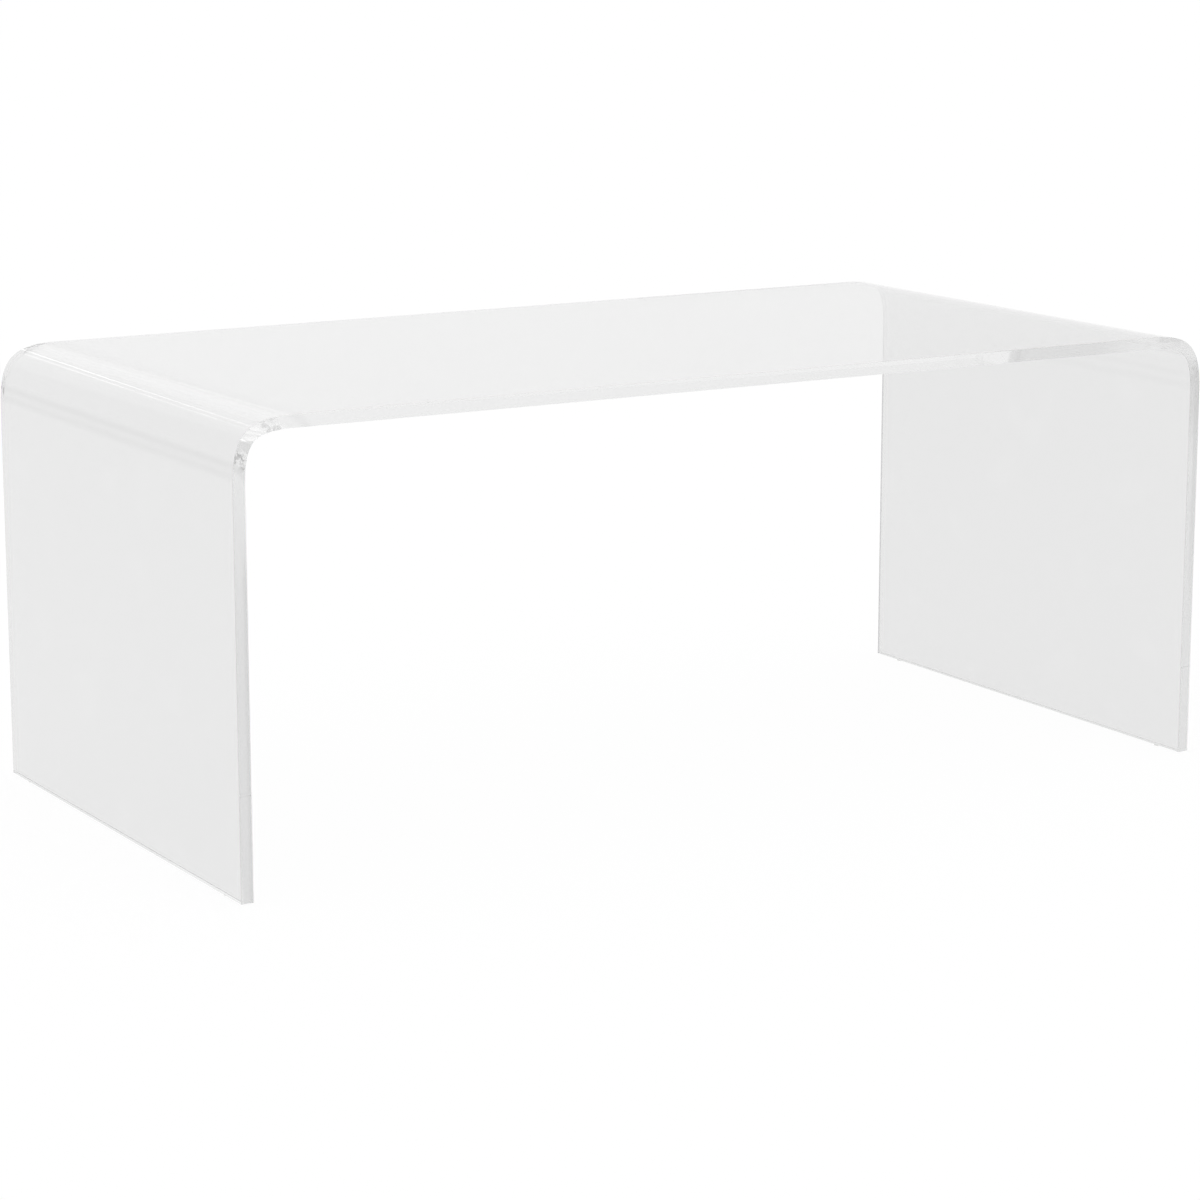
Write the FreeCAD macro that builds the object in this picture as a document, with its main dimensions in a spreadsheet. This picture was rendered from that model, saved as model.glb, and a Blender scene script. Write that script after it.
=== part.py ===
import FreeCAD, Part
import math
import os
import Sketcher

# A waterfall coffee table: one flat sheet of cast acrylic is heated along two lines and folded
# down at both ends, so that the top and the two legs are a single piece. Four clear bumper pads,
# stuck under the legs, keep the polished edges off the floor.
#
# Frame: origin on the floor under the middle of the top, +X along the length, +Z up.
# All sizes are in millimetres, angles in degrees.

SIZES = {
    "table_length": 1067,       # 42 in, over the outside of the legs
    "table_depth": 533,         # 21 in, the width of the sheet
    "table_height": 432,        # 17 in, from the floor to the top surface
    "sheet_thickness": 12,      # nominal half-inch cast sheet
    "crown_radius": 23,         # inside radius in the middle of a bend, where the sheet was hottest
    "easing_radius": 95,        # inside radius where a bend runs out into the cooler flats
    "easing_angle": 15,         # how much of the quarter turn each run-out takes
    "foot_corner_radius": 1,    # sanded corners at the lower ends of the legs
    "arris_radius": 0.4,        # the polished round along every cut edge
    "bumper_diameter": 9.5,
    "bumper_height": 1.6,
    "bumper_rim_radius": 0.6,   # moulded round on the lower rim of a bumper
    "bumper_inset": 38,         # from the cut edge of the sheet to the middle of a bumper
}
QUARTER_TURN = 90
TOLERANCE = 0.01                # for finding faces and edges by their place

doc = FreeCAD.newDocument("WaterfallCoffeeTable")
sheet = doc.addObject("Spreadsheet::Sheet", "Sizes")
for row, (alias, value) in enumerate(SIZES.items(), start=1):
    sheet.set(f"A{row}", alias)
    sheet.set(f"B{row}", str(value))
    sheet.setAlias(f"B{row}", alias)
doc.recompute()


def size(alias):
    """A driving dimension, as the spreadsheet holds it."""
    return float(sheet.get(alias))


def new_body(label):
    body = doc.addObject("PartDesign::Body", label)
    body.Label = label
    return body


def sketch_on(body, role, name):
    """A sketch attached to one of the body's own origin planes."""
    plane = next(item for item in body.Origin.OriginFeatures if item.Role == role)
    sketch = body.newObject("Sketcher::SketchObject", name)
    sketch.AttachmentSupport = [(plane, "")]
    sketch.MapMode = "FlatFace"
    return sketch


def point(x, y):
    return FreeCAD.Vector(x, y, 0)


def add_line(sketch, start, end):
    return sketch.addGeometry(Part.LineSegment(start, end), False)


def add_arc(sketch, centre, radius, start_angle, sweep):
    circle = Part.Circle(centre, FreeCAD.Vector(0, 0, 1), radius)
    start, end = math.radians(start_angle), math.radians(start_angle + sweep)
    return sketch.addGeometry(Part.ArcOfCircle(circle, start, end), False)


def drive(sketch, name, constraint, expression):
    """Add a dimension to a sketch and bind it to the spreadsheet."""
    index = sketch.addConstraint(constraint)
    sketch.renameConstraint(index, name)
    sketch.setExpression(f"Constraints.{name}", expression)


def join(sketch, kind, chain):
    """Join each piece of a chain to the next one, end (2) to start (1)."""
    for first, second in zip(chain, chain[1:]):
        sketch.addConstraint(Sketcher.Constraint(kind, first, 2, second, 1))


# --- The bent sheet -------------------------------------------------------------------------

def bend_arcs(inset):
    """Radius and turn of the three arcs of a bend, on the face that lies inset under the outside."""
    outward = size("sheet_thickness") - inset
    crown = size("crown_radius") + outward
    easing = size("easing_radius") + outward
    run_out = size("easing_angle")
    return [(easing, run_out), (crown, QUARTER_TURN - 2 * run_out), (easing, run_out)]


def bend_reach():
    """How far a bend's outside reaches along each of the two flats that it joins."""
    heading, reach = 0, 0
    for radius, turn in bend_arcs(0):
        ahead = math.radians(heading + turn)
        reach += radius * (math.sin(ahead) - math.sin(math.radians(heading)))
        heading += turn
    return reach


def draw_broad_face(sketch, side, inset):
    """Draw one broad face of the sheet, edge on, from the right foot over the top to the left foot.

    side names the face and inset is an expression: 0 for the outside, the thickness for the inside.
    """
    depth_in = 0 if side == "outer" else size("sheet_thickness")
    reach = bend_reach()
    leg_run = size("table_height") - size("bumper_height") - reach
    top_run = size("table_length") - 2 * reach
    place = point(size("table_length") / 2 - depth_in, size("bumper_height"))
    heading = QUARTER_TURN
    chain = []
    crowns, easings = [], []
    for run, bends_after in ((leg_run, True), (top_run, True), (leg_run, False)):
        along = point(math.cos(math.radians(heading)), math.sin(math.radians(heading)))
        chain.append(add_line(sketch, place, place + along * run))
        place = place + along * run
        if not bends_after:
            continue
        for number, (radius, turn) in enumerate(bend_arcs(depth_in)):
            from_centre = math.radians(heading - QUARTER_TURN)
            centre = place - point(math.cos(from_centre), math.sin(from_centre)) * radius
            arc = add_arc(sketch, centre, radius, heading - QUARTER_TURN, turn)
            (crowns if number == 1 else easings).append(arc)
            chain.append(arc)
            heading += turn
            leaving = math.radians(heading - QUARTER_TURN)
            place = centre + point(math.cos(leaving), math.sin(leaving)) * radius

    join(sketch, "Tangent", chain)
    right_leg, top, left_leg = chain[0], chain[4], chain[-1]
    sketch.addConstraint(Sketcher.Constraint("Vertical", right_leg))
    sketch.addConstraint(Sketcher.Constraint("Horizontal", top))
    sketch.addConstraint(Sketcher.Constraint("Vertical", left_leg))

    outward = f"(Sizes.sheet_thickness - {inset})"
    for number, arc in enumerate(crowns, start=1):
        radius = Sketcher.Constraint("Radius", arc, bend_arcs(depth_in)[1][0])
        drive(sketch, f"{side}_crown_{number}", radius, f"Sizes.crown_radius + {outward}")
    for number, arc in enumerate(easings, start=1):
        radius = Sketcher.Constraint("Radius", arc, bend_arcs(depth_in)[0][0])
        drive(sketch, f"{side}_easing_{number}", radius, f"Sizes.easing_radius + {outward}")
        turn = Sketcher.Constraint("Angle", arc, math.radians(size("easing_angle")))
        drive(sketch, f"{side}_turn_{number}", turn, "Sizes.easing_angle * 1 deg")

    half_length = size("table_length") / 2 - depth_in
    foot = size("bumper_height")
    right_x = Sketcher.Constraint("DistanceX", -1, 1, right_leg, 1, half_length)
    left_x = Sketcher.Constraint("DistanceX", left_leg, 2, -1, 1, half_length)
    right_foot = Sketcher.Constraint("DistanceY", -1, 1, right_leg, 1, foot)
    left_foot = Sketcher.Constraint("DistanceY", -1, 1, left_leg, 2, foot)
    top_z = Sketcher.Constraint("DistanceY", -1, 1, top, 1, size("table_height") - depth_in)
    drive(sketch, f"{side}_right", right_x, f"Sizes.table_length / 2 - {inset}")
    drive(sketch, f"{side}_left", left_x, f"Sizes.table_length / 2 - {inset}")
    drive(sketch, f"{side}_right_foot", right_foot, "Sizes.bumper_height")
    drive(sketch, f"{side}_left_foot", left_foot, "Sizes.bumper_height")
    drive(sketch, f"{side}_top", top_z, f"Sizes.table_height - {inset}")
    return right_leg, left_leg


def close_foot(sketch, outer_leg, inner_leg, end):
    """Draw the cut end of a leg, between the lower ends of its two faces."""
    start = sketch.getPoint(outer_leg, end)
    foot = add_line(sketch, start, sketch.getPoint(inner_leg, end))
    sketch.addConstraint(Sketcher.Constraint("Coincident", outer_leg, end, foot, 1))
    sketch.addConstraint(Sketcher.Constraint("Coincident", inner_leg, end, foot, 2))


def edge_names(shape, wanted):
    return [f"Edge{number}" for number, edge in enumerate(shape.Edges, start=1) if wanted(edge)]


def is_foot_corner(edge):
    """True for an edge that runs through the thickness of the sheet at a corner of a leg."""
    at_foot = abs(edge.BoundBox.ZMax - size("bumper_height")) < TOLERANCE
    at_side = abs(edge.BoundBox.YMin) > size("table_depth") / 2 - TOLERANCE
    return at_foot and at_side and edge.BoundBox.YLength < TOLERANCE


def is_rim(face):
    """True for the faces that were cut through the sheet: its two sides, its ends and their corners."""
    first_u, last_u, first_v, last_v = face.ParameterRange
    normal = face.normalAt((first_u + last_u) / 2, (first_v + last_v) / 2)
    at_foot = abs(face.BoundBox.ZMax - size("bumper_height")) < TOLERANCE
    return abs(normal.y) > TOLERANCE or at_foot


def is_arris(shape, edge):
    """True for an edge between a broad face and the rim."""
    sides = [is_rim(face) for face in shape.ancestorsOfType(edge, Part.Face)]
    return len(sides) == 2 and sides[0] != sides[1]


def make_acrylic_sheet():
    """Draw the folded sheet edge on, give it its depth, then ease its corners and cut edges."""
    body = new_body("acrylic_sheet")
    profile = sketch_on(body, "XZ_Plane", "FoldedProfile")
    outer_right, outer_left = draw_broad_face(profile, "outer", "0")
    inner_right, inner_left = draw_broad_face(profile, "inner", "Sizes.sheet_thickness")
    close_foot(profile, outer_right, inner_right, 1)
    close_foot(profile, outer_left, inner_left, 2)
    doc.recompute()

    folded = body.newObject("PartDesign::Pad", "FoldedSheet")
    folded.Profile = profile
    folded.SideType = "Symmetric"
    folded.setExpression("Length", "Sizes.table_depth")
    doc.recompute()

    corners = body.newObject("PartDesign::Fillet", "SandedFootCorners")
    corners.Base = (folded, edge_names(folded.Shape, is_foot_corner))
    corners.setExpression("Radius", "Sizes.foot_corner_radius")
    doc.recompute()

    arris = body.newObject("PartDesign::Fillet", "PolishedArris")
    arris.Base = (corners, edge_names(corners.Shape, lambda edge: is_arris(corners.Shape, edge)))
    arris.setExpression("Radius", "Sizes.arris_radius")
    profile.Visibility = False
    return body


# --- The bumper pads ------------------------------------------------------------------------

def make_bumper(label, end, flank):
    """A moulded polyurethane disc, revolved. end is -1 or 1 along X, flank is -1 or 1 along Y."""
    body = new_body(label)
    section = sketch_on(body, "XZ_Plane", f"Section_{label}")
    radius, height, rim = size("bumper_diameter") / 2, size("bumper_height"), size("bumper_rim_radius")
    base = add_line(section, point(0, 0), point(radius - rim, 0))
    rim_arc = add_arc(section, point(radius - rim, rim), rim, -QUARTER_TURN, QUARTER_TURN)
    wall = add_line(section, point(radius, rim), point(radius, height))
    glue_face = add_line(section, point(radius, height), point(0, height))
    axis = add_line(section, point(0, height), point(0, 0))
    join(section, "Tangent", [base, rim_arc, wall])
    join(section, "Coincident", [wall, glue_face, axis, base])
    section.addConstraint(Sketcher.Constraint("Coincident", base, 1, -1, 1))
    for flat in (base, glue_face):
        section.addConstraint(Sketcher.Constraint("Horizontal", flat))
    section.addConstraint(Sketcher.Constraint("Vertical", axis))
    rim_size = Sketcher.Constraint("Radius", rim_arc, rim)
    reach = Sketcher.Constraint("DistanceX", axis, 1, wall, 2, radius)
    rise = Sketcher.Constraint("DistanceY", axis, 2, axis, 1, height)
    drive(section, "rim", rim_size, "Sizes.bumper_rim_radius")
    drive(section, "reach", reach, "Sizes.bumper_diameter / 2")
    drive(section, "rise", rise, "Sizes.bumper_height")
    section.addConstraint(Sketcher.Constraint("Vertical", wall))
    doc.recompute()

    disc = body.newObject("PartDesign::Revolution", f"Disc_{label}")
    disc.Profile = section
    disc.ReferenceAxis = (section, ["V_Axis"])
    disc.Angle = 360
    section.Visibility = False
    body.setExpression("Placement.Base.x", f"{end} * (Sizes.table_length - Sizes.sheet_thickness) / 2")
    body.setExpression("Placement.Base.y", f"{flank} * (Sizes.table_depth / 2 - Sizes.bumper_inset)")
    return body


nodes = [make_acrylic_sheet()]
for flank_name, flank in (("front", -1), ("back", 1)):
    for end_name, end in (("left", -1), ("right", 1)):
        nodes.append(make_bumper(f"bumper_{flank_name}_{end_name}", end, flank))
doc.recompute()

# --- Checks and export ----------------------------------------------------------------------

for item in doc.Objects:
    if "Invalid" in item.State or "Error" in item.State:
        raise RuntimeError(f"{item.Label} did not build: {item.State}")
os.makedirs("parts", exist_ok=True)
for node in nodes:
    if node.Shape.isNull() or not node.Shape.isValid():
        raise RuntimeError(f"{node.Label} has no valid shape")
for node in nodes:
    node.Shape.exportStep(f"parts/{node.Label}.step")
    box = node.Shape.BoundBox
    print(f"{node.Label}: {node.Shape.Volume / 1000:.2f} cm3,"
          f" {box.XLength:.2f} x {box.YLength:.2f} x {box.ZLength:.2f} mm, z from {box.ZMin:.2f}")
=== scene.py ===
# %% [markdown]
# # A clear waterfall coffee table
#
# The real table is one sheet of cast acrylic, 12 mm thick, cut flat, polished on its edges, heated
# along two lines and folded down at both ends. Four clear bumper pads under the legs are all else
# that it has. A clear thing is drawn by what it bends and mirrors, so three things decide the look:
# the exact shape of the bends, the glassy material, and how evenly the room around it is lit.
#
# The first lines load the measured frame, which this script must fit and never moves.

# %% Load the frame
import math
import bpy
from mathutils import Matrix, Vector


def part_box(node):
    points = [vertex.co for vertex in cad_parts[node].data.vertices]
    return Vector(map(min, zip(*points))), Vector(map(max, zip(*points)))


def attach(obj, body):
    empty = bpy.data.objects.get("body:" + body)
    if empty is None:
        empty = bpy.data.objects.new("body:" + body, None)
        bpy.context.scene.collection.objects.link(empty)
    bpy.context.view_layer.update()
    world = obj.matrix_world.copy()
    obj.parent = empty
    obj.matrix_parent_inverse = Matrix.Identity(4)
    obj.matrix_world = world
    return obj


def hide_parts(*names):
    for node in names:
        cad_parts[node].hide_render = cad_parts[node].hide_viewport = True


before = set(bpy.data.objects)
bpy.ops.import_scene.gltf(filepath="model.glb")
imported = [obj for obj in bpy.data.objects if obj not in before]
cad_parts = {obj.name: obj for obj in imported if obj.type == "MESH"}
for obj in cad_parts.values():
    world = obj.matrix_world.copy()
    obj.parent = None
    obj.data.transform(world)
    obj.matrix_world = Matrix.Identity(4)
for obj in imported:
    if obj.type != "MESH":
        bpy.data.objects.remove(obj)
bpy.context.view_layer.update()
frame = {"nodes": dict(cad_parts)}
scene = bpy.context.scene
scene.view_settings.view_transform = "Standard"
print("nodes:", ", ".join(frame["nodes"]))

# %% [markdown]
# ## Sizes
# Blender works in metres here. The outside sizes come from the frame, so they can't drift from the
# construction. The sizes below aren't in the frame's boxes, so they are written once, as the maker
# would give them, and everything else is worked out from them.

# %% Sizes
MM = 0.001
sheet_low, sheet_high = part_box("acrylic_sheet")
LENGTH = sheet_high.x - sheet_low.x
DEPTH = sheet_high.y - sheet_low.y
TOP_HEIGHT = sheet_high.z
FOOT_HEIGHT = sheet_low.z
THICKNESS = 12 * MM
ARRIS_RADIUS = 0.3 * MM     # polished round along every cut edge
CORNER_RADIUS = 0.35 * MM   # sanded corners of the two feet
PAD_RIM_RADIUS = 0.6 * MM   # soft rim of the bumper pads
print(f"sheet {LENGTH:.3f} x {DEPTH:.3f} m, top at {TOP_HEIGHT:.3f} m, feet at {FOOT_HEIGHT:.4f} m")

# %% [markdown]
# ## The camera
# The table is seen from its front left corner, from a little above its top, with a long lens that
# keeps the legs almost parallel. A long lens far away flattens the view, a short one close by
# stretches the near corner, so distance and lens are chosen together.

# %% Camera
CAMERA_PLACE = Vector((-1.8211, -3.0408, 0.9187))
CAMERA_TURN = math.radians(30.80)     # from straight ahead, towards the right
CAMERA_DIP = math.radians(11.948)     # below level
CAMERA_LENS = 108.28                  # mm
SENSOR_WIDTH = 36                     # mm
SIGHT = 200                           # how far the camera sees, in metres

camera_data = bpy.data.cameras.new("Camera")
camera_data.sensor_width = SENSOR_WIDTH
camera_data.lens = CAMERA_LENS
camera_data.clip_end = SIGHT
camera = bpy.data.objects.new("Camera", camera_data)
camera.location = CAMERA_PLACE
camera.rotation_euler = (math.pi / 2 - CAMERA_DIP, 0, -CAMERA_TURN)
scene.collection.objects.link(camera)
scene.camera = camera
print(f"camera stands {CAMERA_PLACE.length:.2f} m from the middle of the table")

# %% [markdown]
# ## Helpers for nodes and colours
# A shader and a Geometry Nodes tree are both lists of nodes and links, so one small function adds a
# node of any kind: an input that is given a socket becomes a link, and anything else is typed into it.
# The second function turns a colour as a designer writes it, an sRGB hex code, into the linear
# numbers that Blender mixes. The third makes Math nodes short to write, in both kinds of tree, and the
# fourth is a soft step, which most masks in a material are made of.

# %% Helpers
def add_node(tree, kind, settings=None, inputs=None):
    """Add a node, set its properties, and fill or link its inputs, by name or by number."""
    node = tree.nodes.new(kind)
    for name, value in (settings or {}).items():
        setattr(node, name, value)
    for key, value in (inputs or {}).items():
        if isinstance(value, bpy.types.NodeSocket):
            tree.links.new(value, node.inputs[key])
        else:
            node.inputs[key].default_value = value
    return node


def linear(hex_code):
    """sRGB hex, such as #E8E9E8, as linear red, green and blue with a full alpha."""
    channels = [int(hex_code[start:start + 2], 16) / 255 for start in (1, 3, 5)]
    return [c / 12.92 if c <= 0.04045 else ((c + 0.055) / 1.055) ** 2.4 for c in channels] + [1]


def math_in(tree):
    """A short way to write Math nodes in one tree: first the operation, then its values."""
    def math_node(operation, *values):
        node = add_node(tree, "ShaderNodeMath", {"operation": operation}, dict(enumerate(values)))
        return node.outputs[0]
    return math_node


def smooth_range(tree, value, low, high, at_low, at_high):
    """A soft step from one value to another while the input goes from low to high."""
    step = add_node(tree, "ShaderNodeMapRange", {"interpolation_type": "SMOOTHSTEP"}, {
        "Value": value, "From Min": low, "From Max": high, "To Min": at_low, "To Max": at_high})
    return step.outputs[0]


# %% [markdown]
# ## Clear cast acrylic
# Acrylic, or PMMA, is cast between plates of polished glass, so its broad faces are as smooth as the
# glass was. It bends light a little less than window glass: its index of refraction is 1.49. The
# shader needs full transmission, almost no roughness and a pale neutral tint, which a ray takes on
# where it enters and where it leaves. A long way through the sheet also costs a little light, in
# Volume Absorption, and that darkens the cut edges.
#
# Rays that look for the lamps stop at any surface, so a clear thing would throw a black shadow. For
# them, and for the soft light between matt things, the material is plainly see-through instead.

# %% Material: the clear body
PMMA_IOR = 1.49
SHEET_TINT = linear("#E6E6E6")
SHEET_LOSS = 0.10                   # share of the light that each metre inside costs
SHADOW_TINT = linear("#F6F6F6")     # what a face leaves of the light that falls through it
HALF_GREY = linear("#BCBCBC")       # Volume Absorption with it takes half of what its density says


def make_clear_material(name, tint, ior, loss_per_metre, roughness=0.0):
    """A see-through solid, returned with its tree and its Principled node, for further detail."""
    material = bpy.data.materials.new(name)
    material.use_nodes = True
    tree = material.node_tree
    tree.nodes.clear()
    body = add_node(tree, "ShaderNodeBsdfPrincipled", None, {
        "Base Color": tint, "Roughness": roughness, "IOR": ior, "Transmission Weight": 1})
    see_through = add_node(tree, "ShaderNodeBsdfTransparent", None, {"Color": SHADOW_TINT})
    ray = add_node(tree, "ShaderNodeLightPath").outputs
    surface = body
    for kind in ("Is Diffuse Ray", "Is Shadow Ray"):
        surface = add_node(tree, "ShaderNodeMixShader", None, {
            0: ray[kind], 1: surface.outputs[0], 2: see_through.outputs[0]})
    inside = add_node(tree, "ShaderNodeVolumeAbsorption", None, {
        "Color": HALF_GREY, "Density": loss_per_metre * 2})
    add_node(tree, "ShaderNodeOutputMaterial", None, {
        "Surface": surface.outputs[0], "Volume": inside.outputs[0]})
    return material, tree, body


cast_acrylic, tree, body = make_clear_material("cast_acrylic_polished", SHEET_TINT, PMMA_IOR, SHEET_LOSS)
print("tint of the sheet, linear:", round(SHEET_TINT[0], 3))

# %% [markdown]
# ## Where the edges and the folds are
# A clear thing with perfect surfaces looks like a drawing. The real sheet has cut edges, folds and a
# few marks, but it is one solid, and a clear solid must not be divided, because each border inside it
# would bend the light once more. So one material holds all of this, and finds each place by its own
# position: so far in from an edge, so near to a fold. Each such place is a mask, 1 where it applies
# and 0 elsewhere, with a soft step between, and four short functions say how masks are made and mixed.

# %% Material: how masks are made
calc = math_in(tree)


def rising(value, start, end, full=1.0):
    """0 up to the start, then softly up to full at the end."""
    return smooth_range(tree, value, start, end, 0.0, full)


def falling(value, start, end, full=1.0):
    """Full up to the start, then softly down to 0 at the end."""
    return smooth_range(tree, value, start, end, full, 0.0)


def both(first, *others):
    """Masks multiplied: where every one of them applies."""
    product = first
    for mask in others:
        product = calc("MULTIPLY", product, mask)
    return product


def apart_from(mask):
    """The mask the other way round."""
    return calc("SUBTRACT", 1.0, mask)


# %% Material: masks for the cut edges and the folds
FOLD_FADES = (40 * MM, 75 * MM)     # in from the end and down from the top: where a fold runs out
LEG_BEGINS = (20 * MM, 60 * MM)     # down from the top: where the leg's edge tones take over

coordinates = add_node(tree, "ShaderNodeTexCoord").outputs["Object"]
place = add_node(tree, "ShaderNodeSeparateXYZ", None, {0: coordinates}).outputs
at_front = calc("LESS_THAN", place["Y"], 0.0)
at_back = apart_from(at_front)
at_left = calc("LESS_THAN", place["X"], 0.0)
at_right = apart_from(at_left)
from_end = calc("SUBTRACT", LENGTH / 2, calc("ABSOLUTE", place["X"]))
below_top = calc("SUBTRACT", TOP_HEIGHT, place["Z"])
from_side = calc("SUBTRACT", DEPTH / 2, calc("ABSOLUTE", place["Y"]))
from_foot = calc("SUBTRACT", place["Z"], FOOT_HEIGHT)
from_cut = calc("MINIMUM", from_side, from_foot)
is_cut = falling(from_cut, ARRIS_RADIUS * 0.8, ARRIS_RADIUS)
is_corner = falling(calc("MAXIMUM", from_side, from_foot), CORNER_RADIUS * 0.9, CORNER_RADIUS)
on_leg = rising(below_top, *LEG_BEGINS)
near_fold = both(falling(from_end, *FOLD_FADES), falling(below_top, *FOLD_FADES))

# %% Material: distances round a fold
# round_fold is less than 0 on the top's side of a fold, 0 in its middle and more than 0 on the leg's
# side. from_outside is 0 on the outer face of the sheet and its thickness on the inner one.
FOLD_END_BEGINS = (16 * MM, 21 * MM)    # from the middle of the fold: where its creases come in
FOLD_END_FADES = (33 * MM, 42 * MM)     # and where they are gone

round_fold = calc("SUBTRACT", below_top, from_end)
from_fold = calc("ABSOLUTE", round_fold)
from_outside = calc("MINIMUM", from_end, below_top)
at_fold_end = both(rising(from_fold, *FOLD_END_BEGINS), falling(from_fold, *FOLD_END_FADES))

# %% Material: helpers for patterns
def spots(size, detail, roughness):
    """Noise with spots of about this size, in metres."""
    return add_node(tree, "ShaderNodeTexNoise", None, {
        "Vector": coordinates, "Scale": 1 / size, "Detail": detail, "Roughness": roughness}).outputs[0]


def streaks(across, wide, along, long, detail=1.0):
    """Noise drawn out into streaks: so wide across, and so long along, in metres."""
    vector = add_node(tree, "ShaderNodeCombineXYZ", None, {
        0: calc("DIVIDE", across, wide), 1: calc("DIVIDE", along, long)}).outputs[0]
    return add_node(tree, "ShaderNodeTexNoise", {"noise_dimensions": "2D"}, {
        "Vector": vector, "Scale": 1.0, "Detail": detail, "Roughness": 0.5}).outputs[0]


def blend(share, first, second):
    """Two colours mixed by a share from 0 to 1."""
    return add_node(tree, "ShaderNodeMix", {"data_type": "RGBA"}, {
        "Factor": share, 6: first, 7: second}).outputs[2]


def choose(share, first, second):
    """Two numbers mixed by a share from 0 to 1."""
    return add_node(tree, "ShaderNodeMix", {"data_type": "FLOAT"}, {
        0: share, 2: first, 3: second}).outputs[0]


# %% [markdown]
# ## Colour of the cut edges: painted light and shade
# Cast acrylic has no colour of its own, and what the eye takes for one is light lost at a surface. The
# cut edges pass on light from far around the sheet, and their tones here are painted light and shade
# that stand in for it. The top's edges stay bright, the legs' edges are painted a little greyer, and at
# the front left leg a border is painted greyer still. The right end and the back left fold are painted
# darkest, for the darker floor that the right end's edges see. At the right end the colour is set apart
# for the front and the back, because light that enters a front edge leaves by the back edge, and takes
# its grey from both.

# %% Material: painted light and shade on the cut edges
TOP_EDGE_TINT = linear("#F5F5F5")       # the top's edges, kept bright
LEG_EDGE_SHADE_TINT = linear("#E1E1E1")       # painted shade: the legs' edges a little greyer
LESS_SHADED_EDGE_TINT = linear("#ECECEC")    # painted shade, lighter near the folds
LEG_BORDER_SHADE_TINT = linear("#D3D3D3")     # painted shade, greyer still: a border at the front left leg
DARKEST_EDGE_SHADE_TINT = linear("#CECECE")      # painted shade, darkest: at the right end and the back left fold

# Each pair is the soft border of a zone, measured down from the top unless it says otherwise.
LESS_EDGE_SHADE_FADES = (90 * MM, 210 * MM)
RIGHT_LEG_LESS_SHADE = 0.4                 # how much of that lighter tone the whole right leg gets
OUTER_LINE = (0.4 * MM, 1.0 * MM)       # in from the outer face
OUTER_LINE_SHARE = 0.5
INNER_BORDER = (THICKNESS - 5 * MM, THICKNESS - 3 * MM)     # in from the outer face
INNER_BORDER_BEGINS = (100 * MM, 150 * MM)
RIGHT_END_FADES = (50 * MM, 60 * MM)    # in from the end
BACK_SHADE_BEGINS = (18 * MM, 24 * MM)
BACK_SHADE_FADES = (130 * MM, 210 * MM)
BACK_TOP_SHADE = 0.05                # above all that
FRONT_SHADE_FADES = (70 * MM, 110 * MM)
FRONT_SHADE = 0.2
OUTER_HALF = (5.5 * MM, 7 * MM)         # in from the outer face
OUTER_HALF_SHADE = 0.7
OUTER_HALF_FADES = (180 * MM, 330 * MM)

# painted shade on the legs' edges: lighter near the folds and on the right leg, greyer in a border at
# the front left leg
less_edge_shade = calc("MAXIMUM", falling(below_top, *LESS_EDGE_SHADE_FADES), both(at_right, RIGHT_LEG_LESS_SHADE))
outer_line = falling(from_outside, *OUTER_LINE, OUTER_LINE_SHARE)
inner_border = both(rising(from_outside, *INNER_BORDER), rising(below_top, *INNER_BORDER_BEGINS))
in_border_shade = both(calc("MAXIMUM", outer_line, inner_border), at_front, at_left)

# painted shade: the right end's edges and the back left fold are painted darkest, for the darker floor
# that the right end's edges see
right_end = both(falling(from_end, *RIGHT_END_FADES), at_right)
shade_behind = both(smooth_range(tree, below_top, *BACK_SHADE_BEGINS, BACK_TOP_SHADE, 1.0),
                   falling(below_top, *BACK_SHADE_FADES))
shade_in_front = calc("MAXIMUM", falling(below_top, *FRONT_SHADE_FADES, FRONT_SHADE),
                     both(falling(from_outside, *OUTER_HALF, OUTER_HALF_SHADE),
                          falling(below_top, *OUTER_HALF_FADES)))
in_darkest_shade = calc("MAXIMUM", both(right_end, choose(at_front, shade_behind, shade_in_front)),
               both(near_fold, at_left, at_back))

edge_tint = blend(less_edge_shade, LEG_EDGE_SHADE_TINT, LESS_SHADED_EDGE_TINT)
edge_tint = blend(in_border_shade, edge_tint, LEG_BORDER_SHADE_TINT)
edge_tint = blend(on_leg, TOP_EDGE_TINT, edge_tint)
edge_tint = blend(in_darkest_shade, edge_tint, DARKEST_EDGE_SHADE_TINT)
# the legs' edge tint is painted shade
print("tint of the legs' edges, painted shade, linear:", round(LEG_EDGE_SHADE_TINT[0], 3))

# %% [markdown]
# ## Creases where a fold ends
# Where a fold ends, the cut face was pressed together while it was soft, and it has small creases
# there that glitter dark and light, most of all at the front left corner. Their dark glints are
# painted shade: the same noise colours them dark here, and raises them as relief further down.

# %% Material: creases and their painted shade
CREASE_SHADE_TINT = linear("#A6A6A6")
CREASE_SIZE = 5 * MM
MIDDLE_HALF = 5 * MM            # to each side of the fold's middle: where its two sides blend
CREASE_SHADE_LEVELS = (0.47, 0.60)          # heights of the noise between which the painted shade of a crease comes in
TOP_SIDE_CREASING = 0.6         # how much of it the top's side of a fold has
CREASING_ELSEWHERE = 0.35       # how much of it the other corners have

creases = spots(CREASE_SIZE, detail=2.0, roughness=0.6)
creasing = both(at_fold_end, smooth_range(tree, round_fold, -MIDDLE_HALF, MIDDLE_HALF,
                                          TOP_SIDE_CREASING, 1.0),
                calc("MAXIMUM", both(at_front, at_left), CREASING_ELSEWHERE))
# painted shade: the dark glints of the creases
edge_tint = blend(both(rising(creases, *CREASE_SHADE_LEVELS), creasing), edge_tint, CREASE_SHADE_TINT)

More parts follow.
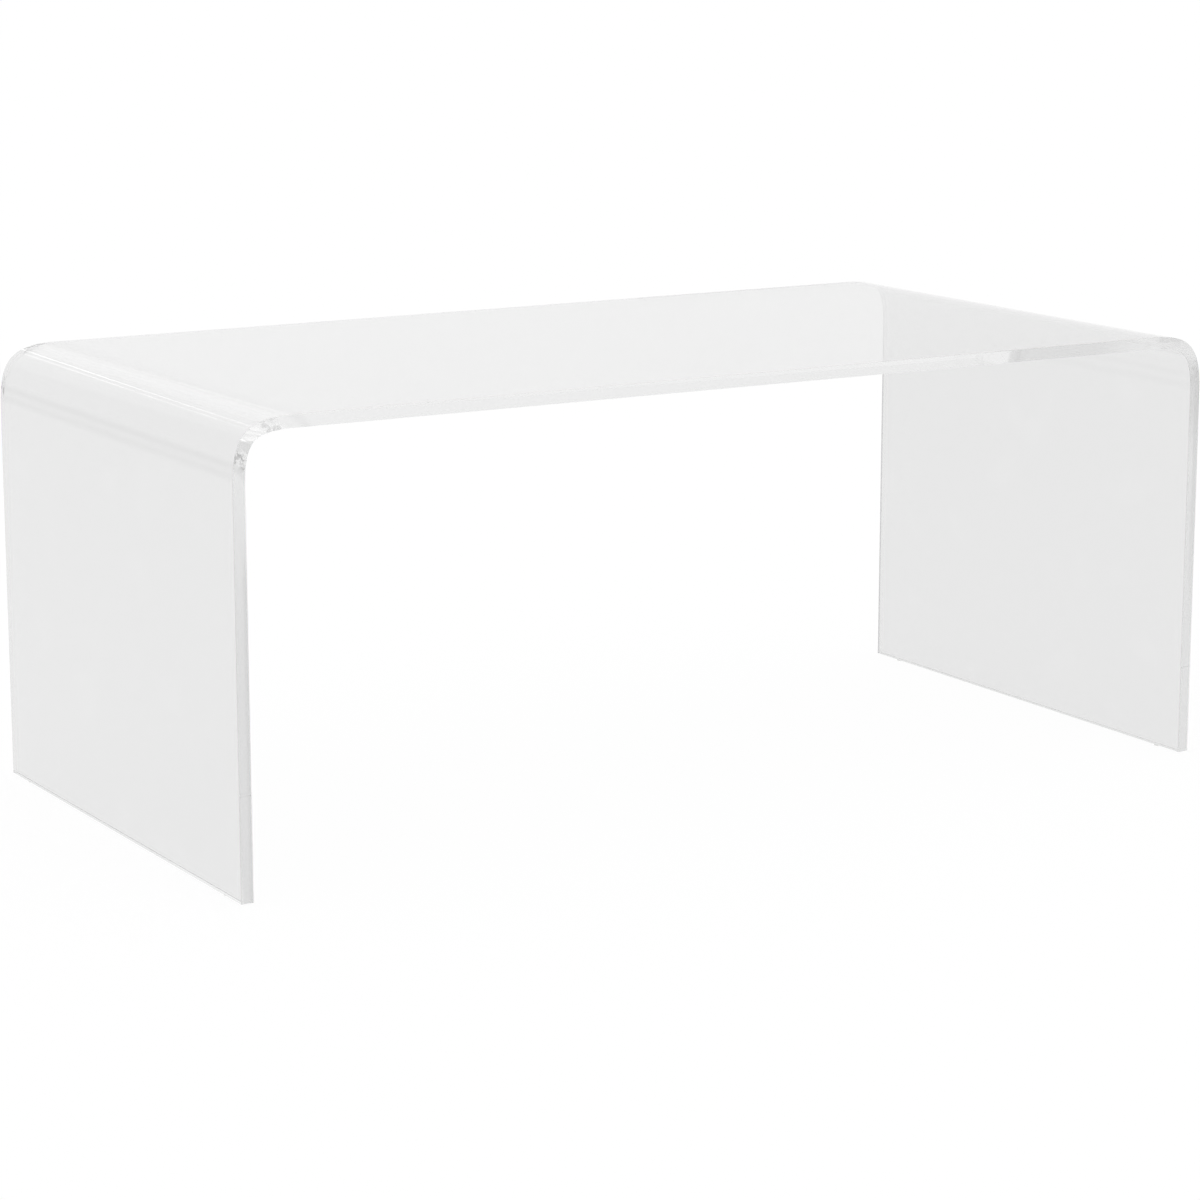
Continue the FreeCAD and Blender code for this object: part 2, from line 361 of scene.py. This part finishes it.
# %% [markdown]
# ## Colour of the broad faces
# The faces kept the polish of the casting glass. A cloth has wiped them cleaner in some places than in
# others, which shows as pale spots the size of a thumb. Beside each fold a soft grey line is painted
# reflection: there the sheet begins to turn, and it mirrors a darker part of the room. Along the right
# leg's back edge a dark strip of painted shade lies on the inner face.

# %% Material: colour of the broad faces
MARK_TINT = linear("#E7E7E7")
MARK_SIZE = 55 * MM
MARKED = (0.60, 0.72)               # heights of the noise between which a mark begins
# painted shade: a dark strip along the right leg's back edge, on its inner face
BACK_EDGE_SHADE_TINT = linear("#B4B4B4")
BACK_EDGE_SHADE_WIDTH = 2.8 * MM
# painted reflection: the darker part of the room that the turning sheet mirrors beside each fold
FOLD_SHADE_LINE_TINT = linear("#DADADA")
FOLD_SHADE_LINES = (                      # distance round the fold, how wide to each side, how strong
    (-60 * MM, 11 * MM, 0.5),       # on the top
    (40 * MM, 7 * MM, 1.0),         # on the leg
)
RIGHT_LINE_SHARE = 0.35             # how much of them the right fold has

marks = spots(MARK_SIZE, detail=1.0, roughness=0.5)
tint = blend(rising(marks, *MARKED), SHEET_TINT, MARK_TINT)
on_inner_face = calc("GREATER_THAN", from_outside, THICKNESS / 2)
# painted shade of the right leg's back edge
back_edge_shade = falling(from_side, BACK_EDGE_SHADE_WIDTH * 0.7, BACK_EDGE_SHADE_WIDTH * 1.3)
tint = blend(both(back_edge_shade, at_back, at_right, on_leg, on_inner_face), tint, BACK_EDGE_SHADE_TINT)
tint = blend(is_cut, tint, edge_tint)
# painted reflection: soft grey lines beside the folds
line_share = calc("MAXIMUM", at_left, RIGHT_LINE_SHARE)
for distance, half_width, strength in FOLD_SHADE_LINES:
    from_line = calc("ABSOLUTE", calc("SUBTRACT", round_fold, distance))
    on_line = falling(from_line, 0.0, half_width)
    tint = blend(both(on_line, strength, line_share), tint, FOLD_SHADE_LINE_TINT)
tree.links.new(tint, body.inputs["Base Color"])

# %% [markdown]
# ## Roughness and relief
# Roughness spreads the light at a surface, and on something clear even a little of it blurs all that
# is seen through it, so the faces get almost none. Relief is what the eye reads as made by hand: a
# faint ripple along the folds, which stretched while they were soft, and the last fine sanding lines
# of the edges. The sanding lines run along the edge, 1.6 mm apart. The real ones are finer, and these
# are drawn as coarse as they need to be to show.

# %% Material: roughness
CUT_ROUGHNESS = 0.03            # buffed faces of the cut edges
ARRIS_ROUGHNESS = 0.08          # their rounded borders
CORNER_ROUGHNESS = 0.80         # corners of the feet, sanded only
CLOTH_ROUGHNESS = 0.02          # where a cloth has wiped the faces
WIPE_WIDTH, WIPE_LENGTH = 9 * MM, 260 * MM
WIPED = (0.55, 0.75)            # heights of the noise between which a wipe begins

wiped = rising(streaks(place["Y"], WIPE_WIDTH, round_fold, WIPE_LENGTH), *WIPED, CLOTH_ROUGHNESS)
cut_roughness = smooth_range(tree, from_cut, ARRIS_RADIUS * 0.02, ARRIS_RADIUS * 0.1,
                             CUT_ROUGHNESS, ARRIS_ROUGHNESS)
cut_roughness = calc("MAXIMUM", cut_roughness, both(is_corner, CORNER_ROUGHNESS))
tree.links.new(choose(is_cut, wiped, cut_roughness), body.inputs["Roughness"])

# %% Material: relief
RIPPLE_WIDTH, RIPPLE_LENGTH, RIPPLE_DEPTH = 6 * MM, 170 * MM, 0.012 * MM
SANDING_WIDTH, SANDING_LENGTH, SANDING_DEPTH = 1.6 * MM, 120 * MM, 0.004 * MM
CREASE_DEPTH = 1.0 * MM

ripple = streaks(round_fold, RIPPLE_WIDTH, place["Y"], RIPPLE_LENGTH, detail=2.0)
sanding = streaks(from_outside, SANDING_WIDTH, round_fold, SANDING_LENGTH)
height = calc("ADD", both(ripple, near_fold, RIPPLE_DEPTH), both(sanding, is_cut, SANDING_DEPTH))
height = calc("ADD", height, both(creases, is_cut, creasing, CREASE_DEPTH))
relief = add_node(tree, "ShaderNodeBump", None, {"Strength": 1.0, "Distance": 1.0, "Height": height})
tree.links.new(relief.outputs[0], body.inputs["Normal"])
print("nodes in the acrylic:", len(tree.nodes))

# %% [markdown]
# ## How the sheet turns down
# A strip heater softens the acrylic most along its middle line and less to each side, so the fold is
# tight in the middle and runs out gently into the flats. Two smooth steps added together say exactly
# that: a narrow one for the heater's middle and a wide one for its spread. With the distance from
# the middle line as input, they give the angle that the sheet has turned through.

# %% The rule of the fold
TIGHT_TURN, TIGHT_REACH = math.radians(30), 17.8 * MM
WIDE_TURN, WIDE_REACH = math.radians(60), 48.9 * MM
FOLD_STEPS = 1200


def smooth_step(value):
    """A soft step from 0 to 1 while the value goes from 0 to 1."""
    value = min(max(value, 0), 1)
    return value * value * (3 - 2 * value)


def turned_at(distance):
    """Angle turned through at a distance from the middle of the fold, along the sheet."""
    return (TIGHT_TURN * smooth_step(0.5 + distance / TIGHT_REACH / 2)
            + WIDE_TURN * smooth_step(0.5 + distance / WIDE_REACH / 2))


def fold_advance():
    """How far the fold leads along the top, which is also how far it leads down the leg."""
    step = 2 * WIDE_REACH / FOLD_STEPS
    middles = [(number + 0.5) * step - WIDE_REACH for number in range(FOLD_STEPS)]
    return sum(math.cos(turned_at(middle)) * step for middle in middles)


FOLD_ADVANCE = fold_advance()
TOP_RUN = LENGTH / 2 - THICKNESS / 2 + WIDE_REACH - FOLD_ADVANCE
LEG_RUN = TOP_HEIGHT - THICKNESS / 2 - FOOT_HEIGHT + WIDE_REACH - FOLD_ADVANCE
print(f"a fold takes {2 * WIDE_REACH / MM:.1f} mm of sheet; the flat blank is "
      f"{2 * (TOP_RUN + LEG_RUN) / MM:.0f} x {DEPTH / MM:.0f} mm")

# %% [markdown]
# ## Folding with Geometry Nodes
# The maker cuts a flat blank and folds it, and the tree does the same, so one rule shapes the whole
# table. It draws the fold's line once by adding up many short steps, each a little further turned:
# an Accumulate Field node keeps the running sum. Then it lays out the flat blank as a grid, with close
# rows only where the sheet will turn, and lifts every row onto that line. A mesh bent by hand would
# be a little uneven, and a clear surface shows that as ripples.

# %% Trees and what runs them
def new_tree(name, sizes):
    """A tree that is given these sizes and a material. Returned with the sockets that hold them."""
    tree = bpy.data.node_groups.new(name, "GeometryNodeTree")
    tree.interface.new_socket("Geometry", in_out="OUTPUT", socket_type="NodeSocketGeometry")
    for size in sizes:
        tree.interface.new_socket(size, in_out="INPUT", socket_type="NodeSocketFloat")
    tree.interface.new_socket("Material", in_out="INPUT", socket_type="NodeSocketMaterial")
    return tree, add_node(tree, "NodeGroupInput").outputs


def end_tree(tree, geometry, material):
    """Every tree ends the same way: real geometry instead of instances, with its material set."""
    real = add_node(tree, "GeometryNodeRealizeInstances", None, {"Geometry": geometry})
    clad = add_node(tree, "GeometryNodeSetMaterial", None, {
        "Geometry": real.outputs[0], "Material": material})
    smooth = add_node(tree, "GeometryNodeSetShadeSmooth", None, {"Geometry": clad.outputs[0]})
    add_node(tree, "NodeGroupOutput", None, {"Geometry": smooth.outputs[0]})


def run_tree(tree, sizes, material):
    """Give the tree its values on an object of its own, and return what it makes as a plain mesh."""
    carrier = bpy.data.objects.new(tree.name, bpy.data.meshes.new(tree.name))
    scene.collection.objects.link(carrier)
    modifier = carrier.modifiers.new(tree.name, "NODES")
    modifier.node_group = tree
    for item in tree.interface.items_tree:
        if item.in_out == "INPUT":
            modifier[item.identifier] = material if item.name == "Material" else sizes[item.name]
    evaluated = carrier.evaluated_get(bpy.context.evaluated_depsgraph_get())
    mesh = bpy.data.meshes.new_from_object(evaluated)
    mesh.name = tree.name
    bpy.data.objects.remove(carrier)
    return mesh


# %% The tree that lays out the blank and folds it
SHEET_SIZES = {
    "Top Run": TOP_RUN, "Leg Run": LEG_RUN, "Depth": DEPTH, "Mid Height": TOP_HEIGHT - THICKNESS / 2,
    "Tight Turn": TIGHT_TURN, "Tight Reach": TIGHT_REACH,
    "Wide Turn": WIDE_TURN, "Wide Reach": WIDE_REACH,
}
FOLD_ROWS, LEG_ROWS, TOP_ROWS, ROWS_ACROSS = 180, 24, 64, 32
SAME_PLACE = 0.01 * MM      # points closer than this are one point


def make_sheet_tree():
    tree, given = new_tree("Folded acrylic blank", SHEET_SIZES)
    calc = math_in(tree)

    def at(x=0.0, y=0.0, z=0.0):
        return add_node(tree, "ShaderNodeCombineXYZ", None, {0: x, 1: y, 2: z}).outputs[0]

    def axes(vector):
        return add_node(tree, "ShaderNodeSeparateXYZ", None, {0: vector}).outputs

    def turn_from(distance):
        """The fold's rule, as nodes: two smooth steps from flat to turned, one narrow and one wide."""
        steps = []
        for name in ("Tight", "Wide"):
            reach = given[name + " Reach"]
            steps.append(add_node(tree, "ShaderNodeMapRange", {"interpolation_type": "SMOOTHSTEP"}, {
                "Value": distance, "From Min": calc("MULTIPLY", reach, -1.0), "From Max": reach,
                "To Min": 0.0, "To Max": given[name + " Turn"]}).outputs[0])
        return calc("ADD", *steps)

    # The fold's line: a straight row of points, each moved to the sum of all the steps before it.
    reach = given["Wide Reach"]
    stride = calc("DIVIDE", reach, FOLD_STEPS / 2)
    row = add_node(tree, "GeometryNodeMeshLine", None, {"Count": FOLD_STEPS + 1, "Offset": at(x=stride)})
    number = add_node(tree, "GeometryNodeInputIndex").outputs[0]
    middle = calc("SUBTRACT", calc("MULTIPLY", calc("ADD", number, 0.5), stride), reach)
    angle = turn_from(middle)
    one_step = at(calc("MULTIPLY", calc("COSINE", angle), stride), 0.0,
                  calc("MULTIPLY", calc("SINE", angle), calc("MULTIPLY", stride, -1.0)))
    running = add_node(tree, "GeometryNodeAccumulateField", {"data_type": "FLOAT_VECTOR"}, {0: one_step})
    line = add_node(tree, "GeometryNodeSetPosition", None, {
        "Geometry": row.outputs[0], "Position": running.outputs["Trailing"]})
    fold_line = add_node(tree, "GeometryNodeMeshToCurve", None, {0: line.outputs[0]}).outputs[0]

    # The flat blank: rows of points along it, swept across its depth.
    def stations(marks):
        """One polyline through marks, each a distance and the number of rows up to the next mark."""
        join = add_node(tree, "GeometryNodeJoinGeometry")
        for (low, rows), (high, _) in zip(marks, marks[1:]):
            part = add_node(tree, "GeometryNodeMeshLine", {"mode": "END_POINTS"}, {
                "Count": rows + 1, "Start Location": at(x=low), "Offset": at(x=high)})
            tree.links.new(part.outputs[0], join.inputs[0])
        whole = add_node(tree, "GeometryNodeMergeByDistance", None, {
            0: join.outputs[0], "Distance": SAME_PLACE})
        return add_node(tree, "GeometryNodeMeshToCurve", None, {0: whole.outputs[0]}).outputs[0]

    fold_start = calc("SUBTRACT", given["Top Run"], reach)
    fold_end = calc("ADD", given["Top Run"], reach)
    foot = calc("ADD", given["Top Run"], given["Leg Run"])
    left = [calc("MULTIPLY", mark, -1.0) for mark in (foot, fold_end, fold_start)]
    lengthwise = stations([
        (left[0], LEG_ROWS), (left[1], FOLD_ROWS), (left[2], TOP_ROWS),
        (fold_start, FOLD_ROWS), (fold_end, LEG_ROWS), (foot, 0)])
    half_depth = calc("DIVIDE", given["Depth"], 2.0)
    crosswise = stations([
        (calc("MULTIPLY", half_depth, -1.0), ROWS_ACROSS), (half_depth, 0)])
    blank = add_node(tree, "GeometryNodeCurveToMesh", None, {
        "Curve": lengthwise, "Profile Curve": crosswise}).outputs[0]

    # The four corners of the blank are marked, so that a Bevel can round just these, and not the rows.
    flat = axes(add_node(tree, "GeometryNodeInputPosition").outputs[0])
    along, side = calc("ABSOLUTE", flat["X"]), calc("SIGN", flat["X"])
    at_end = calc("GREATER_THAN", along, calc("SUBTRACT", foot, SAME_PLACE))
    outward = calc("ABSOLUTE", flat["Y"])
    at_side = calc("GREATER_THAN", outward, calc("SUBTRACT", half_depth, SAME_PLACE))
    kind = {"data_type": "FLOAT", "domain": "POINT"}
    marked = add_node(tree, "GeometryNodeStoreNamedAttribute", kind, {
        "Geometry": blank, "Name": "bevel_weight_vert", "Value": calc("MULTIPLY", at_end, at_side)})

    # Folding: up to the fold a row stays on the top, in it the row sits on the line, past it on the leg.
    past = calc("SUBTRACT", along, given["Top Run"])
    inside = calc("MINIMUM", calc("MAXIMUM", past, calc("MULTIPLY", reach, -1.0)), reach)
    sample = add_node(tree, "GeometryNodeSampleCurve", {"mode": "LENGTH"}, {
        "Curves": fold_line, "Length": calc("ADD", inside, reach)})
    on_line = axes(sample.outputs["Position"])
    over = calc("ADD", calc("MINIMUM", along, fold_start), on_line["X"])
    down = calc("SUBTRACT", on_line["Z"], calc("MAXIMUM", calc("SUBTRACT", past, reach), 0.0))
    folded = at(calc("MULTIPLY", over, side), flat["Y"], calc("ADD", down, given["Mid Height"]))
    placed = add_node(tree, "GeometryNodeSetPosition", None, {
        "Geometry": marked.outputs[0], "Position": folded})
    end_tree(tree, placed.outputs[0], given["Material"])
    return tree


folded_blank = run_tree(make_sheet_tree(), SHEET_SIZES, cast_acrylic)
print("folded blank:", len(folded_blank.vertices), "points")

# %% [markdown]
# ## Thickness and polished edges
# The folded blank is the middle of the sheet, without thickness. Solidify gives it 12 mm, half to each
# side, measured square to the surface also in the folds. Bevel rounds every cut edge by less than a
# millimetre, as sanding and buffing do. Weighted Normal then lets the large faces decide how the light
# leaves their borders, so that the small round doesn't tilt the shading of a whole face.

# %% Finish the sheet
SHARP_TURN = math.radians(60)       # an edge that turns more than this was cut


def finish(name, mesh, modifiers):
    """Put a mesh through modifiers, given as kind and settings, and return a plain finished object."""
    piece = bpy.data.objects.new(name, mesh)
    scene.collection.objects.link(piece)
    for kind, settings in modifiers:
        modifier = piece.modifiers.new(kind, kind)
        for key, value in settings.items():
            setattr(modifier, key, value)
    evaluated = piece.evaluated_get(bpy.context.evaluated_depsgraph_get())
    finished = bpy.data.meshes.new_from_object(evaluated)
    piece.modifiers.clear()
    piece.data = finished
    finished.name = name
    return piece


folded_sheet = finish("folded_acrylic_sheet", folded_blank, [
    ("BEVEL", {"affect": "VERTICES", "limit_method": "WEIGHT", "width": CORNER_RADIUS, "segments": 4}),
    ("SOLIDIFY", {"thickness": THICKNESS, "offset": 0, "use_even_offset": True}),
    ("BEVEL", {"limit_method": "ANGLE", "angle_limit": SHARP_TURN, "width": ARRIS_RADIUS,
               "segments": 5, "use_clamp_overlap": False}),
    ("WEIGHTED_NORMAL", {"mode": "FACE_AREA", "weight": 100, "keep_sharp": False}),
])
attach(folded_sheet, "root")
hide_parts("acrylic_sheet")
for axis in range(3):
    places = [vertex.co[axis] for vertex in folded_sheet.data.vertices]
    print("xyz"[axis], f"{min(places):.5f} to {max(places):.5f}")
print(len(folded_sheet.data.polygons), "faces")

# %% [markdown]
# ## The four bumper pads
# Under each leg sit two clear polyurethane pads, stuck on by their flat side so that the acrylic never
# touches the floor. They are moulded discs, a little wider than a pencil, with a soft rim. One disc is
# made, Geometry Nodes set it on four points, because the four are the same, and Bevel rounds the rims.

# %% Bumper pads
PAD_NODES = ("bumper_front_left", "bumper_front_right", "bumper_back_left", "bumper_back_right")
PAD_TINT = linear("#EDEDEB")
PAD_IOR, PAD_LOSS, PAD_ROUGHNESS = 1.5, 0.5, 0.15
PAD_SIDES = 32              # flats round a pad, too short to show
pad_low, pad_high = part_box(PAD_NODES[0])
PAD_SIZES = {
    "Pad Radius": (pad_high.x - pad_low.x) / 2, "Pad Height": pad_high.z - pad_low.z,
    "Across": LENGTH - THICKNESS, "Between": -(pad_high.y + pad_low.y),
}
clear_polyurethane = make_clear_material(
    "clear_polyurethane_moulded", PAD_TINT, PAD_IOR, PAD_LOSS, PAD_ROUGHNESS)[0]


def make_pad_tree():
    tree, given = new_tree("Bumper pads", PAD_SIZES)
    calc = math_in(tree)
    disc = add_node(tree, "GeometryNodeMeshCylinder", {"fill_type": "NGON"}, {
        "Vertices": PAD_SIDES, "Radius": given["Pad Radius"], "Depth": given["Pad Height"]})
    four = add_node(tree, "GeometryNodeMeshGrid", None, {
        "Size X": given["Across"], "Size Y": given["Between"], "Vertices X": 2, "Vertices Y": 2})
    middle = add_node(tree, "ShaderNodeCombineXYZ", None, {2: calc("DIVIDE", given["Pad Height"], 2.0)})
    lifted = add_node(tree, "GeometryNodeSetPosition", None, {
        "Geometry": four.outputs[0], "Offset": middle.outputs[0]})
    pads = add_node(tree, "GeometryNodeInstanceOnPoints", None, {
        "Points": lifted.outputs[0], "Instance": disc.outputs[0]})
    end_tree(tree, pads.outputs[0], given["Material"])
    return tree


pads = finish("clear_bumper_pads", run_tree(make_pad_tree(), PAD_SIZES, clear_polyurethane), [
    ("BEVEL", {"limit_method": "ANGLE", "angle_limit": SHARP_TURN, "width": PAD_RIM_RADIUS,
               "segments": 3}),
])
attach(pads, "root")
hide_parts(*PAD_NODES)
print("pads:", len(pads.data.polygons), "faces")

# %% [markdown]
# ## A white floor that still keeps a shadow
# The table stands on a wide matt white floor that fades into the background. A white floor lit by a
# plain light is never quite white in a render, and more light would only burn out the table. Light
# Path tells what kind of ray is asking: for the camera, and for rays that come out of glass or gloss,
# most of the floor's colour is set to plain white, and the rest is honest paint, which the table
# shades. The light that falls on the table comes from the paint alone.

# %% Floor
FLOOR_HALF = 150            # metres from its middle to its edge
FLOOR_DROP = 0.1 * MM       # just under the pads, so that two faces never share a plane

floor_data = bpy.data.meshes.new("floor")
signs = [(-1, -1), (1, -1), (1, 1), (-1, 1)]
corners = [(x * FLOOR_HALF, y * FLOOR_HALF, -FLOOR_DROP) for x, y in signs]
floor_data.from_pydata(corners, [], [(0, 1, 2, 3)])
floor = bpy.data.objects.new("floor", floor_data)
scene.collection.objects.link(floor)

# %% Material of the floor
FLOOR_PAINT = linear("#F4F4F4")
WHITE = linear("#FFFFFF")
WHITE_SHARE = 0.88


def seen_directly(tree):
    """1 for rays from the camera and from gloss and glass, 0 for the light that falls on things."""
    ray = add_node(tree, "ShaderNodeLightPath").outputs
    calc = math_in(tree)
    in_clear_things = calc("MAXIMUM", ray["Is Glossy Ray"], ray["Is Transmission Ray"])
    return calc("MAXIMUM", ray["Is Camera Ray"], in_clear_things)


floor_material = bpy.data.materials.new("matt_white_studio_floor")
floor_material.use_nodes = True
tree = floor_material.node_tree
tree.nodes.clear()
paint = add_node(tree, "ShaderNodeBsdfDiffuse", None, {"Color": FLOOR_PAINT})
glow = add_node(tree, "ShaderNodeEmission", None, {"Color": WHITE, "Strength": 1})
white_share = math_in(tree)("MULTIPLY", seen_directly(tree), WHITE_SHARE)
mixed = add_node(tree, "ShaderNodeMixShader", None, {
    0: white_share, 1: paint.outputs[0], 2: glow.outputs[0]})
add_node(tree, "ShaderNodeOutputMaterial", None, {"Surface": mixed.outputs[0]})
floor_material.cycles.emission_sampling = "NONE"      # the floor isn't a lamp
floor_data.materials.append(floor_material)
print("floor:", 2 * FLOOR_HALF, "m wide, white by", WHITE_SHARE)

# %% [markdown]
# ## The room around the table
# An even white world lights the table from all sides. A clear sheet also mirrors that room, and in a
# room that is the same everywhere its bends would vanish. So what the glassy rays see is shaped a
# little by direction, never brighter than white: a grey ceiling far to the left, which gives the left
# fold its darker flank, and a backdrop that falls off slightly to the right, which tones the top.

# %% World
WORLD_LIGHT = 1.12
CEILING_GREY, LOW_SKY_GREY = 0.7, 0.96
CEILING_FADES = (-0.75, -0.3)       # to the left, as the x of a direction
LOW_SKY_FADES = (0.3, 0.65)         # to the right, as the x of a direction
LOW_SKY_BEGINS = (0.03, 0.09)       # over the horizon, as the z of a direction
CEILING_BEGINS = (math.sin(math.radians(14)), math.sin(math.radians(21)))

world = bpy.data.worlds.new("studio")
scene.world = world
world.use_nodes = True
tree = world.node_tree
tree.nodes.clear()
direction = add_node(tree, "ShaderNodeTexCoord").outputs["Generated"]
towards = add_node(tree, "ShaderNodeSeparateXYZ", None, {0: direction}).outputs
ceiling = smooth_range(tree, towards["X"], *CEILING_FADES, CEILING_GREY, 1.0)
low_sky = smooth_range(tree, towards["X"], *LOW_SKY_FADES, 1.0, LOW_SKY_GREY)
low_sky = smooth_range(tree, towards["Z"], *LOW_SKY_BEGINS, 1.0, low_sky)
backdrop = smooth_range(tree, towards["Z"], *CEILING_BEGINS, low_sky, ceiling)
light = add_node(tree, "ShaderNodeBackground", None, {"Color": WHITE, "Strength": WORLD_LIGHT})
show = add_node(tree, "ShaderNodeBackground", None, {"Color": WHITE, "Strength": backdrop})
mixed = add_node(tree, "ShaderNodeMixShader", None, {
    0: seen_directly(tree), 1: light.outputs[0], 2: show.outputs[0]})
add_node(tree, "ShaderNodeOutputWorld", None, {"Surface": mixed.outputs[0]})

# %% [markdown]
# ## Two lamps for the bend
# A shiny bend acts as a curved mirror that squeezes a whole room into a narrow band. A long thin strip
# box behind the table shows in it as a fine white line, and a large faint soft box behind lifts the
# band around that line. Both stand at the back, because that is what the left bend mirrors.

# %% Lamps
def add_soft_box(name, place, target, wide, tall, radiance, lean=0.0):
    """A rectangular soft box, aimed at a point. Its power follows from how bright its face looks."""
    lamp_data = bpy.data.lights.new(name, "AREA")
    lamp_data.shape = "RECTANGLE"
    lamp_data.size, lamp_data.size_y = wide, tall
    lamp_data.energy = radiance * math.pi * wide * tall
    lamp = bpy.data.objects.new(name, lamp_data)
    lamp.location = place
    aim = (Vector(target) - Vector(place)).to_track_quat("-Z", "Y").to_matrix().to_4x4()
    lamp.rotation_euler = (aim @ Matrix.Rotation(math.radians(lean), 4, "Z")).to_euler()
    lamp.visible_camera = False
    scene.collection.objects.link(lamp)
    return lamp


strip_box = add_soft_box("strip_box", place=(-0.15, 3.0, 1.75), target=(-0.5, 0, 0.4),
                         wide=0.04, tall=1.3, radiance=1.1, lean=-25)
back_box = add_soft_box("back_box", place=(-0.1, 3.2, 1.62), target=(-0.1, 0, 0.4),
                        wide=2.8, tall=1.1, radiance=0.09)
print(f"strip box {strip_box.data.energy:.1f} W, back box {back_box.data.energy:.1f} W")

# %% [markdown]
# ## How far a ray may go
# Light that enters a cut edge is trapped between the two faces and bounces along the whole sheet before
# it leaves by another edge. Each bounce counts, so the limits are high, or the edges would turn black.

# %% Light paths
BOUNCES = 256
scene.cycles.max_bounces = BOUNCES
scene.cycles.glossy_bounces = BOUNCES
scene.cycles.transmission_bounces = BOUNCES
scene.cycles.caustics_reflective = False
scene.cycles.caustics_refractive = False
print("a ray may bounce", BOUNCES, "times")
